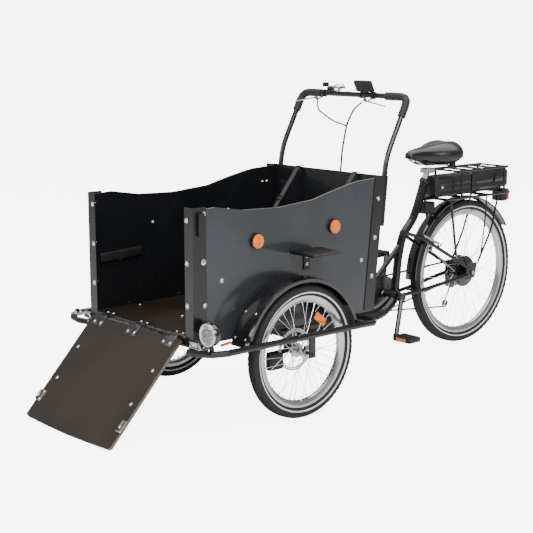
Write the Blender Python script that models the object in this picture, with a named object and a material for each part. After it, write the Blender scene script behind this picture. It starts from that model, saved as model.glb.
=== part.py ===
"""A front-load cargo tricycle: a ply box between two steered wheels, and a bicycle's rear half behind it.

Metres, +Z up. The rider faces -Y and the cycle's own left side is +X. Everything hangs from one empty,
so that y = 0 of the numbers below is the front axle.
"""

import math

import bmesh
import bpy
from mathutils import Matrix, Vector

# Where the front axle lies, so that the origin is under the middle of the whole cycle
FRONT_AXLE_Y = -0.4548

# Wheels
TRACK = 0.784
FRONT_TYRE_R = 0.250
FRONT_BEAD_R = 0.203
REAR_Y = 1.364
REAR_TYRE_R = 0.328
REAR_BEAD_R = 0.2795
TYRE_W = 0.048
WHEEL_STEPS = 28
SPOKES = 7
ROTOR_R = 0.080

# Box
PANEL_T = 0.010
BOX_HALF = 0.316
BOX_FRONT = -0.443
FLOOR_TOP = 0.355
FLOOR_T = 0.015
PANEL_BOTTOM = 0.325
BACK_TOP = 0.857
BACK_LEAN = math.radians(5.9)
BACK_FOOT_Y = 0.442

# Ramp
HINGE_Y = -0.456
HINGE_Z = 0.350
RAMP_HALF = 0.271
RAMP_LONG = 0.472
RAMP_T = 0.012
RAMP_DROP = math.radians(47)

# Steering, crank and drive
STEER_Y = 0.115
CRANK_Y = 0.908
CRANK_Z = 0.275
CRANK_LONG = 0.170
CRANK_ANGLE = math.radians(-108.7)
CHAIN_X = -0.046

GAP = 0.0004


def new_collection(name):
    collection = bpy.data.collections.new(name)
    bpy.context.scene.collection.children.link(collection)
    return collection


for old in list(bpy.data.objects):
    bpy.data.objects.remove(old, do_unlink=True)
PARTS = new_collection("cargo_bicycle")
CUTTERS = new_collection("cutters")
CUTTERS.hide_render = True

ROOT = bpy.data.objects.new("cargo_bicycle", None)
ROOT.location = (0, FRONT_AXLE_Y, 0)
PARTS.objects.link(ROOT)


def paint(name, color, roughness, metallic=0.0):
    material = bpy.data.materials.new(name)
    material.use_nodes = True
    shader = material.node_tree.nodes["Principled BSDF"]
    shader.inputs["Base Color"].default_value = (*color, 1)
    shader.inputs["Roughness"].default_value = roughness
    shader.inputs["Metallic"].default_value = metallic
    return material


FRAME_BLACK = paint("frame_black", (0.012, 0.012, 0.013), 0.35)
GLOSS_BLACK = paint("gloss_black", (0.008, 0.008, 0.009), 0.12)
PLASTIC_BLACK = paint("plastic_black", (0.015, 0.015, 0.016), 0.45)
PANEL_FILM = paint("panel_film", (0.045, 0.048, 0.055), 0.25)
FLOOR_FILM = paint("floor_film", (0.060, 0.032, 0.018), 0.40)
ALLOY = paint("alloy", (0.62, 0.62, 0.63), 0.28, 1.0)
STEEL = paint("steel", (0.45, 0.45, 0.46), 0.30, 1.0)
RUBBER = paint("rubber", (0.018, 0.018, 0.018), 0.75)
VINYL = paint("vinyl", (0.010, 0.010, 0.010), 0.30)
WEBBING = paint("webbing", (0.30, 0.30, 0.31), 0.85)
AMBER = paint("amber", (0.85, 0.30, 0.02), 0.20)
RED = paint("red", (0.55, 0.01, 0.01), 0.20)


def add(name, mesh, material=None, parent=ROOT):
    """The mesh as an object; without a material it is a working piece, to be joined or cut."""
    thing = bpy.data.objects.new(name, mesh)
    if material:
        mesh.materials.clear()
        mesh.materials.append(material)
        PARTS.objects.link(thing)
        thing.parent = parent
    else:
        CUTTERS.objects.link(thing)
        thing.hide_render = True
        thing.display_type = "WIRE"
    return thing


def mesh_from(bm, name="shape"):
    mesh = bpy.data.meshes.new(name)
    bm.to_mesh(mesh)
    bm.free()
    return mesh


def box(low, high, bevel=0.0):
    """A working box between two corners, its edges chamfered by bevel."""
    bm = bmesh.new()
    bmesh.ops.create_cube(bm, size=1)
    size = Vector(high) - Vector(low)
    middle = (Vector(high) + Vector(low)) / 2
    bmesh.ops.transform(bm, matrix=Matrix.Translation(middle) @ Matrix.Diagonal((*size, 1)), verts=bm.verts)
    if bevel:
        bmesh.ops.bevel(bm, geom=bm.edges[:], offset=bevel, segments=1, affect="EDGES", clamp_overlap=True)
    return add("box", mesh_from(bm))


def rod(start, end, radius, sides=12, end_radius=None):
    """A working cylinder or cone from start to end."""
    start, end = Vector(start), Vector(end)
    bm = bmesh.new()
    bmesh.ops.create_cone(
        bm,
        cap_ends=True,
        segments=sides,
        radius1=radius,
        radius2=radius if end_radius is None else end_radius,
        depth=(end - start).length,
    )
    turn = (end - start).to_track_quat("Z", "Y").to_matrix().to_4x4()
    bmesh.ops.transform(bm, matrix=Matrix.Translation((start + end) / 2) @ turn, verts=bm.verts)
    return add("rod", mesh_from(bm))


def as_mesh(thing):
    """The evaluated curve or modified mesh as a plain working mesh, its caps welded."""
    graph = bpy.context.evaluated_depsgraph_get()
    mesh = bpy.data.meshes.new_from_object(thing.evaluated_get(graph))
    mesh.transform(thing.matrix_world)
    bm = bmesh.new()
    bm.from_mesh(mesh)
    bmesh.ops.remove_doubles(bm, verts=bm.verts, dist=1e-6)
    bmesh.ops.recalc_face_normals(bm, faces=bm.faces)
    bm.to_mesh(mesh)
    bm.free()
    bpy.data.objects.remove(thing, do_unlink=True)
    mesh.materials.clear()
    return add("mesh", mesh)


def rounded(points, radius, steps=3):
    """The polyline with each inner corner replaced by an arc-like run of steps points."""
    points = [Vector(p) for p in points]
    path = [points[0]]
    for before, corner, after in zip(points, points[1:], points[2:]):
        reach = min(radius, (corner - before).length * 0.45, (after - corner).length * 0.45)
        start = corner + (before - corner).normalized() * reach
        end = corner + (after - corner).normalized() * reach
        for i in range(steps + 1):
            t = i / steps
            path.append(start * (1 - t) ** 2 + corner * 2 * t * (1 - t) + end * t**2)
    path.append(points[-1])
    return path


def tube(points, radius, resolution=2, bend=0.0):
    """A working solid tube through the points."""
    path = rounded(points, bend) if bend else [Vector(p) for p in points]
    curve = bpy.data.curves.new("tube", "CURVE")
    curve.dimensions = "3D"
    curve.bevel_depth = radius
    curve.bevel_resolution = resolution
    curve.use_fill_caps = True
    spline = curve.splines.new("POLY")
    spline.points.add(len(path) - 1)
    for point, place in zip(spline.points, path):
        point.co = (*place, 1)
    return as_mesh(add("tube", curve))


def plate(outline, thickness, matrix):
    """A flat outline of (u, v) points extruded to its thickness, centred, then placed by the matrix."""
    curve = bpy.data.curves.new("plate", "CURVE")
    curve.dimensions = "2D"
    curve.fill_mode = "BOTH"
    curve.extrude = thickness / 2
    spline = curve.splines.new("POLY")
    spline.points.add(len(outline) - 1)
    for point, (u, v) in zip(spline.points, outline):
        point.co = (u, v, 0, 1)
    spline.use_cyclic_u = True
    thing = add("plate", curve)
    thing.matrix_world = matrix
    bpy.context.view_layer.update()
    return as_mesh(thing)


def upright(x, y=0.0, z=0.0):
    """Places a plate's (u, v) on (Y, Z) at this x, its thickness along X."""
    return Matrix.Translation((x, y, z)) @ Matrix(((0, 0, 1, 0), (1, 0, 0, 0), (0, 1, 0, 0), (0, 0, 0, 1)))


def turned(profile, place, start=math.pi / 2, sweep=math.tau, steps=WHEEL_STEPS):
    """A closed (radius, x) profile swept about the X axis through place, from start measured from +Y."""
    bm = bmesh.new()
    verts = [bm.verts.new((x, r * math.cos(start), r * math.sin(start))) for r, x in profile]
    for a, b in zip(verts, verts[1:] + verts[:1]):
        bm.edges.new((a, b))
    spun = bm.verts[:] + bm.edges[:]
    whole = sweep == math.tau
    bmesh.ops.spin(bm, geom=spun, cent=(0, 0, 0), axis=(1, 0, 0), angle=sweep, steps=steps, use_merge=whole)
    bmesh.ops.remove_doubles(bm, verts=bm.verts, dist=1e-6)
    bmesh.ops.holes_fill(bm, edges=[e for e in bm.edges if e.is_boundary])
    bmesh.ops.recalc_face_normals(bm, faces=bm.faces)
    bmesh.ops.translate(bm, vec=place, verts=bm.verts)
    return add("turned", mesh_from(bm))


def gather(*pieces):
    """Working pieces that don't touch, as one mesh, ready for a single union or cut."""
    bm = bmesh.new()
    for piece in pieces:
        bm.from_mesh(piece.data)
        bpy.data.objects.remove(piece, do_unlink=True)
    return add("gathered", mesh_from(bm))


def boolean(base, other, operation):
    modifier = base.modifiers.new(operation.title(), "BOOLEAN")
    modifier.operation = operation
    modifier.object = other
    result = as_mesh(base)
    bpy.data.objects.remove(other, do_unlink=True)
    return result


def join(*pieces):
    whole = pieces[0]
    for piece in pieces[1:]:
        whole = boolean(whole, piece, "UNION")
    return whole


def cut(base, *cutters):
    for cutter in cutters:
        base = boolean(base, cutter, "DIFFERENCE")
    return base


def mirrored(thing):
    """A second working piece, reflected in the plane x = 0."""
    bm = bmesh.new()
    bm.from_mesh(thing.data)
    bmesh.ops.scale(bm, vec=(-1, 1, 1), verts=bm.verts)
    bmesh.ops.reverse_faces(bm, faces=bm.faces)
    return add("mirrored", mesh_from(bm))


def turn_about(thing, place, axis, angle):
    """The working piece turned about an axis through place."""
    place = Matrix.Translation(place)
    thing.data.transform(place @ Matrix.Rotation(angle, 4, axis) @ place.inverted())
    return thing


def node(name, thing, material, pivot=(0, 0, 0), smooth=True):
    """Makes the working piece a sub-part, with its own origin at the pivot."""
    mesh = thing.data
    mesh.transform(Matrix.Translation(-Vector(pivot)))
    if smooth:
        mesh.shade_smooth()
        mesh.set_sharp_from_angle(angle=math.radians(35))
    bpy.data.objects.remove(thing, do_unlink=True)
    final = add(name, mesh, material)
    final.location = pivot
    return final


def pair_of(name, thing, material, pivot=(0, 0, 0)):
    """The piece on the left side and its mirror image on the right."""
    other = mirrored(thing)
    node(name + "_left", thing, material, pivot)
    node(name + "_right", other, material, (-pivot[0], pivot[1], pivot[2]))


def polar(y, z, radius, angle):
    return (y + radius * math.cos(angle), z + radius * math.sin(angle))


# ---- Wheels ----


def tyre(x, y, radius, rim_edge):
    half = TYRE_W / 2
    side = [(rim_edge + GAP, 0.5), (rim_edge + 0.009, 0.9), (radius - 0.020, 1.0), (radius - 0.007, 0.75)]
    profile = [(r, half * k) for r, k in side] + [(radius, 0.25 * half), (radius, -0.25 * half)]
    profile += [(r, -half * k) for r, k in reversed(side)]
    return turned(profile, (x, y, radius))


def spoked_wheel(x, y, radius, rim_edge, rim_inner, hub, flange_r, flange_x):
    """Rim, spokes and a hub with its bore: the hub is a closed (radius, x) profile."""
    rim = [(rim_edge, 0.0135), (rim_inner + 0.006, 0.012), (rim_inner, 0.006)]
    rim += [(r, -w) for r, w in reversed(rim)]
    body = gather(turned(rim, (x, y, radius)), turned(hub, (x, y, radius)))
    spokes = []
    for side in (1, -1):
        for i in range(SPOKES):
            angle = math.tau * (i + (side + 1) / 4) / SPOKES
            start = (x + side * flange_x, *polar(y, radius, flange_r - 0.004, angle))
            end = (x + side * 0.003, *polar(y, radius, rim_inner + 0.004, angle + 0.2))
            spokes.append(rod(start, end, 0.0013, 4))
    return join(body, gather(*spokes))


FRONT_RIM = FRONT_BEAD_R + 0.007
REAR_RIM = REAR_BEAD_R + 0.0065
WHEEL_X = TRACK / 2
HUB = [(0.0062, -0.036), (0.016, -0.036), (0.027, -0.024), (0.012, -0.014), (0.012, 0.014), (0.027, 0.024)]
HUB += [(0.014, 0.036), (0.0062, 0.036)]
MOTOR = [(0.0085, -0.030), (0.066, -0.026), (0.072, -0.019), (0.072, 0.020), (0.064, 0.030), (0.024, 0.038)]
MOTOR += [(0.0085, 0.040)]
for side, word in ((1, "left"), (-1, "right")):
    axle = (side * WHEEL_X, 0, FRONT_TYRE_R)
    hub = [(r, side * x) for r, x in HUB]
    node("front_tyre_" + word, tyre(side * WHEEL_X, 0, FRONT_TYRE_R, FRONT_RIM), RUBBER, axle)
    wheel = spoked_wheel(side * WHEEL_X, 0, FRONT_TYRE_R, FRONT_RIM, 0.183, hub, 0.027, 0.024)
    node("front_wheel_" + word, wheel, ALLOY, axle)
    ring = [(0.0065, 0.001), (ROTOR_R, 0.001), (ROTOR_R, -0.001), (0.0065, -0.001)]
    node("brake_rotor_" + word, turned(ring, (side * 0.3535, 0, FRONT_TYRE_R)), STEEL, axle)

REAR_AXLE = (0, REAR_Y, REAR_TYRE_R)
node("rear_tyre", tyre(0, REAR_Y, REAR_TYRE_R, REAR_RIM), RUBBER, REAR_AXLE)
motor_wheel = spoked_wheel(0, REAR_Y, REAR_TYRE_R, REAR_RIM, 0.2595, MOTOR, 0.072, 0.015)
node("rear_wheel", motor_wheel, ALLOY, REAR_AXLE)
COGS = [(0.0085, -0.0315), (0.040, -0.0315), (0.040, -0.040)]
COGS += [(0.032, -0.040), (0.032, -0.050), (0.022, -0.050)]
COGS += [(0.022, -0.0555), (0.0085, -0.0555)]
node("cassette", turned(COGS, REAR_AXLE), STEEL, REAR_AXLE)
axle_rod = rod((-0.075, REAR_Y, REAR_TYRE_R), (0.075, REAR_Y, REAR_TYRE_R), 0.006)
nuts = [rod((s * 0.0665, REAR_Y, REAR_TYRE_R), (s * 0.073, REAR_Y, REAR_TYRE_R), 0.011, 6) for s in (1, -1)]
node("rear_axle", join(axle_rod, gather(*nuts)), STEEL, REAR_AXLE)


# ---- Box: floor, panels and posts ----


def leaned(thing):
    """Tips a piece built upright back with the box's rear wall."""
    return turn_about(thing, (0, BACK_FOOT_Y + PANEL_T, 0.33), "X", -BACK_LEAN)


def back_y(z, depth=0.0):
    """The y of the rear wall's outer plane at height z, or of a plane that far behind it."""
    return BACK_FOOT_Y + PANEL_T + (z - 0.33) * math.tan(BACK_LEAN) + depth


TOP_EDGE = [(-0.4425, 0.790), (-0.430, 0.803), (-0.342, 0.807), (-0.214, 0.786), (-0.048, 0.780)]
TOP_EDGE += [(0.127, 0.793), (0.215, 0.814), (0.314, 0.835), (0.369, 0.844), (0.486, 0.850)]
outline = [(-0.4425, PANEL_BOTTOM)] + TOP_EDGE
outline += [(back_y(0.846), 0.846), (back_y(PANEL_BOTTOM), PANEL_BOTTOM)]
pair_of("side_panel", plate(outline, PANEL_T, upright(BOX_HALF - PANEL_T / 2)), PANEL_FILM)
INNER_HALF = BOX_HALF - PANEL_T - 0.0005
floor_board = box((-INNER_HALF, BOX_FRONT, FLOOR_TOP - FLOOR_T), (INNER_HALF, 0.4515, FLOOR_TOP))
node("box_floor", floor_board, FLOOR_FILM)
wall = box((-INNER_HALF, BACK_FOOT_Y, 0.358), (INNER_HALF, BACK_FOOT_Y + PANEL_T - 0.0003, BACK_TOP))
node("back_panel", leaned(wall), PANEL_FILM)


def bolts(points, axis, radius=0.007, long=0.004):
    """Domed bolt heads at the points, standing out along the axis."""
    heads = []
    for point in points:
        start = Vector(point) - Vector(axis) * 0.001
        heads.append(rod(start, Vector(point) + Vector(axis) * long, radius, 8, radius * 0.6))
    return gather(*heads)


front_flange = box((0.274, -0.4463, PANEL_BOTTOM), (0.3193, -0.4433, 0.812))
side_flange = box((0.3163, -0.4463, PANEL_BOTTOM), (0.3193, -0.385, 0.812))
sleeve = box((0.3183, -0.426, 0.715), (0.3303, -0.400, 0.795))
post = join(front_flange, side_flange, sleeve)
post = join(post, bolts([(0.287, -0.4463, z) for z in (0.768, 0.617, 0.466)], (0, -1, 0)))
post = join(post, bolts([(0.3193, -0.395, z) for z in (0.622, 0.466)], (1, 0, 0)))
pair_of("front_post", cut(post, box((0.3213, -0.421, 0.725), (0.3273, -0.405, 0.80))), FRAME_BLACK)

BAR_R = 0.011
BORE_R = 0.0118
LEG_X = 0.303
LEG_DEPTH = 0.0175
rear_flange = box((0.260, 0.4523, 0.328), (0.3193, 0.4553, 0.857))
wing = box((0.3163, 0.4023, 0.328), (0.3193, 0.4553, 0.857))
socket = rod((LEG_X, 0.452 + LEG_DEPTH, 0.660), (LEG_X, 0.452 + LEG_DEPTH, 0.857), 0.0155)
bore = rod((LEG_X, 0.452 + LEG_DEPTH, 0.665), (LEG_X, 0.452 + LEG_DEPTH, 0.90), BORE_R)
angle = join(rear_flange, wing, socket)
angle = join(angle, bolts([(0.3193, 0.425, z) for z in (0.765, 0.616, 0.463)], (1, 0, 0)))
pair_of("rear_post", leaned(cut(angle, bore)), FRAME_BLACK)

step_plate = box((0.326, -0.005, 0.606), (0.462, 0.135, 0.618), 0.004)
step_foot = box((0.3165, 0.078, 0.536), (0.3205, 0.106, 0.612))
step_arm = box((0.3190, 0.080, 0.600), (0.345, 0.104, 0.612))
node("side_step", join(step_plate, step_foot, step_arm), PLASTIC_BLACK)
for y, z, word in ((-0.154, 0.669, "front"), (0.232, 0.684, "rear")):
    disc = rod((BOX_HALF + GAP, y, z), (BOX_HALF + 0.015, y, z), 0.029, 20)
    node(f"reflector_{word}_left", disc, AMBER)

# Fenders hug the wheels: a skin with a lip on its outer edge, and two tabs to the box
FENDER = [(0.289, 0.330), (0.289, 0.418), (0.283, 0.425), (0.268, 0.427), (0.268, 0.4245), (0.281, 0.4225)]
FENDER += [(0.2865, 0.417), (0.2865, 0.330)]
arc = turned(FENDER, (0, -0.012, 0.242), math.radians(12), math.radians(154), 18)
tabs = []
for turn in (40, 90, 140):
    y, z = polar(-0.012, 0.242, 0.288, math.radians(turn))
    tabs.append(box((BOX_HALF + GAP, y - 0.010, z - 0.006), (0.334, y + 0.010, z)))
pair_of("fender", join(arc, gather(*tabs)), GLOSS_BLACK)


# ---- Chassis under the box, with the axles, the bumper and the steering kingpin ----

RAIL_R = 0.0125
BUMPER_R = 0.0120
RAIL_Z = FLOOR_TOP - FLOOR_T - 0.0005 - RAIL_R
CROSS_Z = PANEL_BOTTOM - 0.0005 - RAIL_R
CROSS_ENDS = (-0.400, 0.372)
bumper_half = [(0.290, -0.404, 0.3110), (0.318, -0.465, 0.3115), (0.345, -0.488, 0.317)]
bumper_half += [(0.385, -0.484, 0.320), (0.430, -0.455, 0.320), (0.450, -0.400, 0.320), (0.450, 0.250, 0.320)]
bumper_half += [(0.444, 0.325, 0.316), (0.405, 0.371, 0.3105), (0.285, 0.3705, 0.3105)]


def half_chassis():
    bumper = tube(bumper_half, BUMPER_R, 2)
    rail = rod((0.25, -0.415, RAIL_Z), (0.25, 0.395, RAIL_Z), RAIL_R)
    inner_drop = box((0.3200, -0.026, 0.234), (0.3285, 0.026, 0.318))
    outer_drop = box((0.4465, -0.014, 0.236), (0.4535, 0.014, 0.320))
    axle = rod((0.322, 0, FRONT_TYRE_R), (0.4575, 0, FRONT_TYRE_R), 0.005)
    shoulder = rod((0.322, 0, FRONT_TYRE_R), (0.3515, 0, FRONT_TYRE_R), 0.009)
    arm = box((0.3200, -0.110, 0.232), (0.3270, -0.020, 0.250))
    lamp_post = rod((0.418, -0.445, 0.320), (0.418, -0.445, 0.342), 0.009)
    return join(bumper, rail, inner_drop, outer_drop, axle, shoulder, arm, lamp_post)


left = half_chassis()
right = mirrored(left)
crosses = [rod((-0.324, y, CROSS_Z), (0.324, y, CROSS_Z), RAIL_R) for y in (*CROSS_ENDS, 0.0)]
spine = [rod((s * 0.045, -0.01, CROSS_Z), (s * 0.045, 0.375, CROSS_Z), 0.011) for s in (1, -1)]
bridge = box((-0.050, STEER_Y - 0.030, 0.302), (0.050, STEER_Y + 0.030, 0.318))
kingpin = rod((0, STEER_Y, 0.224), (0, STEER_Y, 0.310), 0.016, 16)
chassis = join(join(gather(left, right), *crosses), *spine, bridge, kingpin)
node("chassis", chassis, FRAME_BLACK)

caliper = box((0.3355, -0.130, 0.190), (0.3655, -0.062, 0.250), 0.005)
slot = box((0.3505, -0.105, 0.180), (0.3565, -0.040, 0.275))
ear = box((0.3274, -0.105, 0.228), (0.3370, -0.070, 0.246))
pair_of("caliper", join(cut(caliper, slot), ear), PLASTIC_BLACK)


# ---- Ramp, on hinges along the floor's front edge; built flat, then let down ----

half_outline = [(RAMP_HALF, -0.010), (RAMP_HALF, -0.458), (RAMP_HALF - 0.012, -0.465), (0.14, -0.4695)]
outline = half_outline + [(0, -RAMP_LONG)] + [(-u, v) for u, v in reversed(half_outline)]
board = plate(outline, RAMP_T, Matrix.Translation((0, HINGE_Y, HINGE_Z)))
leaves = []
for x in (-0.215, 0.0, 0.215):
    leaf = box((x - 0.030, HINGE_Y - 0.045, HINGE_Z + 0.002), (x + 0.030, HINGE_Y - 0.001, HINGE_Z + 0.0082))
    knuckle = rod((x - 0.032, HINGE_Y, HINGE_Z + 0.001), (x + 0.032, HINGE_Y, HINGE_Z + 0.001), 0.0055, 10)
    leaves.append(join(leaf, knuckle))
hooks = []
for s in (1, -1):
    low = (s * 0.260 - 0.009, HINGE_Y - 0.395, 0.347)
    hooks.append(box(low, (s * 0.260 + 0.009, HINGE_Y - 0.355, 0.366)))
ramp = join(board, gather(*leaves), gather(*hooks))
ramp = turn_about(ramp, (0, HINGE_Y, HINGE_Z), "X", RAMP_DROP)
node("ramp", ramp, FLOOR_FILM, (0, HINGE_Y, HINGE_Z))


# ---- Handlebar and what is on it ----

BAR_Y = 0.653
BAR_Z = 1.153
CORNER_BEND = 0.055
leg_foot = (LEG_X, back_y(0.672, LEG_DEPTH), 0.672)
leg_knee = (LEG_X, back_y(0.918, LEG_DEPTH), 0.918)
corner = (LEG_X, BAR_Y, BAR_Z)
half_bar = [leg_foot, leg_knee, corner]
bar = tube(half_bar + [(-x, y, z) for x, y, z in reversed(half_bar)], BAR_R, 4, CORNER_BEND)
LEVERS = {"left": (0.112, 1), "right": (-0.172, -1)}
LEVER_Y = 0.604
LEVER_Z = 1.136
PULL_AXIS = Vector((0, -0.5, 0.866))
mounts = []
for x, _ in LEVERS.values():
    pivot = Vector((x, LEVER_Y, LEVER_Z))
    clamp = rod((x - 0.008, BAR_Y, BAR_Z), (x + 0.008, BAR_Y, BAR_Z), 0.0155)
    jaws = []
    for step in (1, -1):
        offset = PULL_AXIS * 0.0090 * step
        inner = Vector((x, BAR_Y - 0.006, BAR_Z - 0.003)) + offset
        jaws.append(tube([inner, pivot + offset], 0.003, 1))
    mounts.append(join(clamp, *jaws))
shift_box = box((-0.148, 0.640, 1.158), (-0.124, 0.668, 1.180), 0.003)
node("handlebar", join(bar, gather(*mounts), shift_box), FRAME_BLACK)


def grip(s):
    """A sleeve from low on the leg, round the corner, to the straight of the bar."""
    near_leg = Vector(corner) + (Vector(leg_knee) - Vector(corner)).normalized() * 0.085
    far_leg = Vector(corner) + (Vector(leg_knee) - Vector(corner)).normalized() * 0.120
    outer = [near_leg, corner, (0.185, BAR_Y, BAR_Z)]
    inner = [far_leg, corner, (0.150, BAR_Y, BAR_Z)]
    body = cut(tube(outer, 0.0165, 4, CORNER_BEND), tube(inner, BORE_R, 4, CORNER_BEND))
    return body if s > 0 else mirrored(body)


for s, word in ((1, "left"), (-1, "right")):
    node("grip_" + word, grip(s), RUBBER)

for word, (x, s) in LEVERS.items():
    pivot = Vector((x, LEVER_Y, LEVER_Z))
    hub = rod(pivot - PULL_AXIS * 0.0035, pivot + PULL_AXIS * 0.0035, 0.008, 10)
    blade = [pivot, pivot + Vector((s * 0.040, -0.010, -0.006)), pivot + Vector((s * 0.120, -0.008, -0.020))]
    node("brake_lever_" + word, join(hub, tube(blade, 0.0033, 2, 0.02)), ALLOY, pivot)

SHIFT_PIVOT = (-0.136, 0.654, 1.1815)
trigger = box((-0.143, 0.646, 1.1804), (-0.129, 0.662, 1.1840), 0.001)
thumb = box((-0.150, 0.618, 1.1810), (-0.142, 0.652, 1.2000), 0.002)
node("shifter_lever", join(trigger, thumb), PLASTIC_BLACK, SHIFT_PIVOT)

BELL = (-0.085, BAR_Y)
dome = rod((*BELL, 1.1745), (*BELL, 1.1840), 0.025, 24)
crown = rod((*BELL, 1.1835), (*BELL, 1.1930), 0.025, 24, 0.015)
stem = rod((*BELL, BAR_Z + BAR_R + GAP), (*BELL, 1.176), 0.006, 10)
node("bell", join(dome, crown, stem), ALLOY)
striker = box((BELL[0] - 0.004, 0.6120, 1.1655), (BELL[0] + 0.004, 0.6455, 1.1690), 0.001)
BELL_PIVOT = (BELL[0], 0.6435, 1.167)
node("bell_lever", striker, STEEL, BELL_PIVOT)

screen = box((0.032, 0.634, 1.170), (0.128, 0.648, 1.218), 0.003)
screen = turn_about(screen, (0.08, 0.645, 1.170), "X", math.radians(25))
foot = box((0.068, 0.640, BAR_Z + BAR_R + GAP), (0.092, 0.660, 1.180))
node("display", join(screen, foot), PLASTIC_BLACK)

tie = (0.084, 0.530, 1.040)
from_left = [(0.098, 0.600, 1.126), (0.092, 0.560, 1.100), tie, (0.070, 0.519, 0.930), (0.066, 0.518, 0.862)]
from_left += [(0.066, back_y(0.80, 0.008), 0.800), (0.066, back_y(0.42, 0.008), 0.420)]
from_right = [(-0.158, 0.600, 1.126), (-0.110, 0.555, 1.090), (0.000, 0.532, 1.052), (0.080, 0.530, 1.036)]
gland = rod((0.066, back_y(0.78, 0.0075), 0.780), (0.066, back_y(0.82, 0.0075), 0.820), 0.0070, 10)
cables = join(tube(from_left, 0.0040, 2, 0.03), tube(from_right, 0.0035, 2, 0.03), gland)
node("handlebar_cables", cables, RUBBER)

# Webbing from over the back panel's top down to the floor
for x, word in ((0.174, "left"), (-0.153, "right")):
    top = Vector((x, back_y(BACK_TOP, -0.020), BACK_TOP + 0.001))
    foot = Vector((x, 0.080, FLOOR_TOP + GAP + 0.002))
    run = (foot - top).normalized()
    turn = run.to_track_quat("Y", "Z").to_matrix().to_4x4()
    band = box((-0.011, 0, -0.0010), (0.011, (foot - top).length, 0.0010))
    band.data.transform(Matrix.Translation(top) @ turn)
    hook = box((x - 0.011, top.y - 0.004, BACK_TOP + GAP), (x + 0.011, top.y + 0.021, BACK_TOP + 0.0025))
    pad = box((x - 0.016, 0.060, FLOOR_TOP + GAP), (x + 0.016, 0.100, FLOOR_TOP + 0.006))
    node("seat_strap_" + word, join(band, hook, pad), WEBBING)

# Headlight on its post, facing forward
LAMP = (0.418, -0.445, 0.388)
shell = rod((LAMP[0], LAMP[1] + 0.030, LAMP[2]), (LAMP[0], LAMP[1] - 0.020, LAMP[2]), 0.022, 20, 0.043)
glass = rod((LAMP[0], LAMP[1] - 0.0195, LAMP[2]), (LAMP[0], LAMP[1] - 0.030, LAMP[2]), 0.043, 20, 0.040)
neck = rod((LAMP[0], LAMP[1], 0.3448), (LAMP[0], LAMP[1], 0.362), 0.008)
node("headlight", join(shell, glass, neck), PLASTIC_BLACK, (LAMP[0], LAMP[1], 0.352))


# ---- Rear frame ----

SEAT_TOP = Vector((0, 1.096, 0.752))
SEAT_LEAN = math.radians(21)
seat_line = Vector((0, math.sin(SEAT_LEAN), math.cos(SEAT_LEAN)))
CLEVIS_X = 0.0625


def half_frame():
    """The left half's own tubes: lower tube, chain stay, seat stay and dropout."""
    lower = [(0.014, CRANK_Y - 0.006, CRANK_Z - 0.016), (0.022, 0.830, 0.211), (0.048, 0.715, 0.205)]
    lower += [(0.048, 0.260, 0.205), (0.008, STEER_Y + 0.022, 0.262)]
    chain_stay = [(0.028, CRANK_Y + 0.010, CRANK_Z), (0.042, 1.040, 0.283), (CLEVIS_X, 1.335, 0.318)]
    seat_stay = [(0.012, 0.968, 0.545), (0.052, 1.030, 0.523), (CLEVIS_X, 1.345, 0.350)]
    shape = [(1.325, 0.300), (1.385, 0.305), (1.400, 0.372), (1.330, 0.372)]
    dropout = plate(shape, 0.005, upright(CLEVIS_X))
    tubes = [tube(lower, 0.019, 2, 0.06), tube(chain_stay, 0.009, 2, 0.02), tube(seat_stay, 0.008, 2, 0.03)]
    hole = rod((CLEVIS_X - 0.010, REAR_Y, REAR_TYRE_R), (CLEVIS_X + 0.020, REAR_Y, REAR_TYRE_R), 0.0070)
    return join(tubes[1], tubes[2], cut(dropout, hole)), tubes[0]


# The rear brake's arms stand on bosses of the seat stays: along the stay, and out of its plane
ALONG = Vector((0, -0.888, 0.460))
OUT = Vector((0, 0.460, 0.888))
BOSS = Vector((0.0556, 1.138, 0.464))

rear_left, lower_left = half_frame()
rear_left = join(rear_left, rod(BOSS, BOSS + OUT * 0.028, 0.0050, 10))
rear_right, lower_right = mirrored(rear_left), mirrored(lower_left)
seat_tube = [SEAT_TOP, (0, 1.062, 0.664), (0, 1.030, 0.596), (0, 0.966, 0.540), (0, 0.938, 0.440)]
seat_tube += [(0, 0.922, CRANK_Z + 0.006)]
main = tube(seat_tube, 0.0185, 2, 0.045)
shell = rod((-0.034, CRANK_Y, CRANK_Z), (0.034, CRANK_Y, CRANK_Z), 0.022, 16)
head = rod((0, STEER_Y, 0.228), (0, STEER_Y, 0.296), 0.027, 16)
strut = tube([(0, 0.945, 0.490), (0, 0.815, 0.375), (0, 0.655, 0.222)], 0.012, 2, 0.04)
braces = [rod((-0.048, y, 0.206), (0.048, y, 0.206), 0.012, 8) for y in (0.655, 0.330)]
stay_bridge = rod((-0.050, 1.027, 0.2825), (0.050, 1.027, 0.2825), 0.0055, 8)
frame = join(main, shell, lower_left, lower_right, head, strut, *braces)
frame = join(frame, rear_left, rear_right, stay_bridge)
spindle_bore = rod((-0.05, CRANK_Y, CRANK_Z), (0.05, CRANK_Y, CRANK_Z), 0.0105, 16)
post_bore = rod(SEAT_TOP - seat_line * 0.090, SEAT_TOP + seat_line * 0.030, 0.0145, 16)
pin_bore = rod((0, STEER_Y, 0.20), (0, STEER_Y, 0.32), 0.0175, 16)
node("frame", cut(frame, spindle_bore, post_bore, pin_bore), FRAME_BLACK)

collar = rod(SEAT_TOP + seat_line * 0.0005, SEAT_TOP + seat_line * 0.018, 0.0215, 16)
collar_bore = rod(SEAT_TOP - seat_line * 0.02, SEAT_TOP + seat_line * 0.04, 0.0145, 16)
quick = tube([(0.018, 1.100, 0.761), (0.034, 1.096, 0.761), (0.036, 1.062, 0.752)], 0.0035, 1)
node("seat_clamp", cut(join(collar, quick), collar_bore), FRAME_BLACK)

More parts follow.
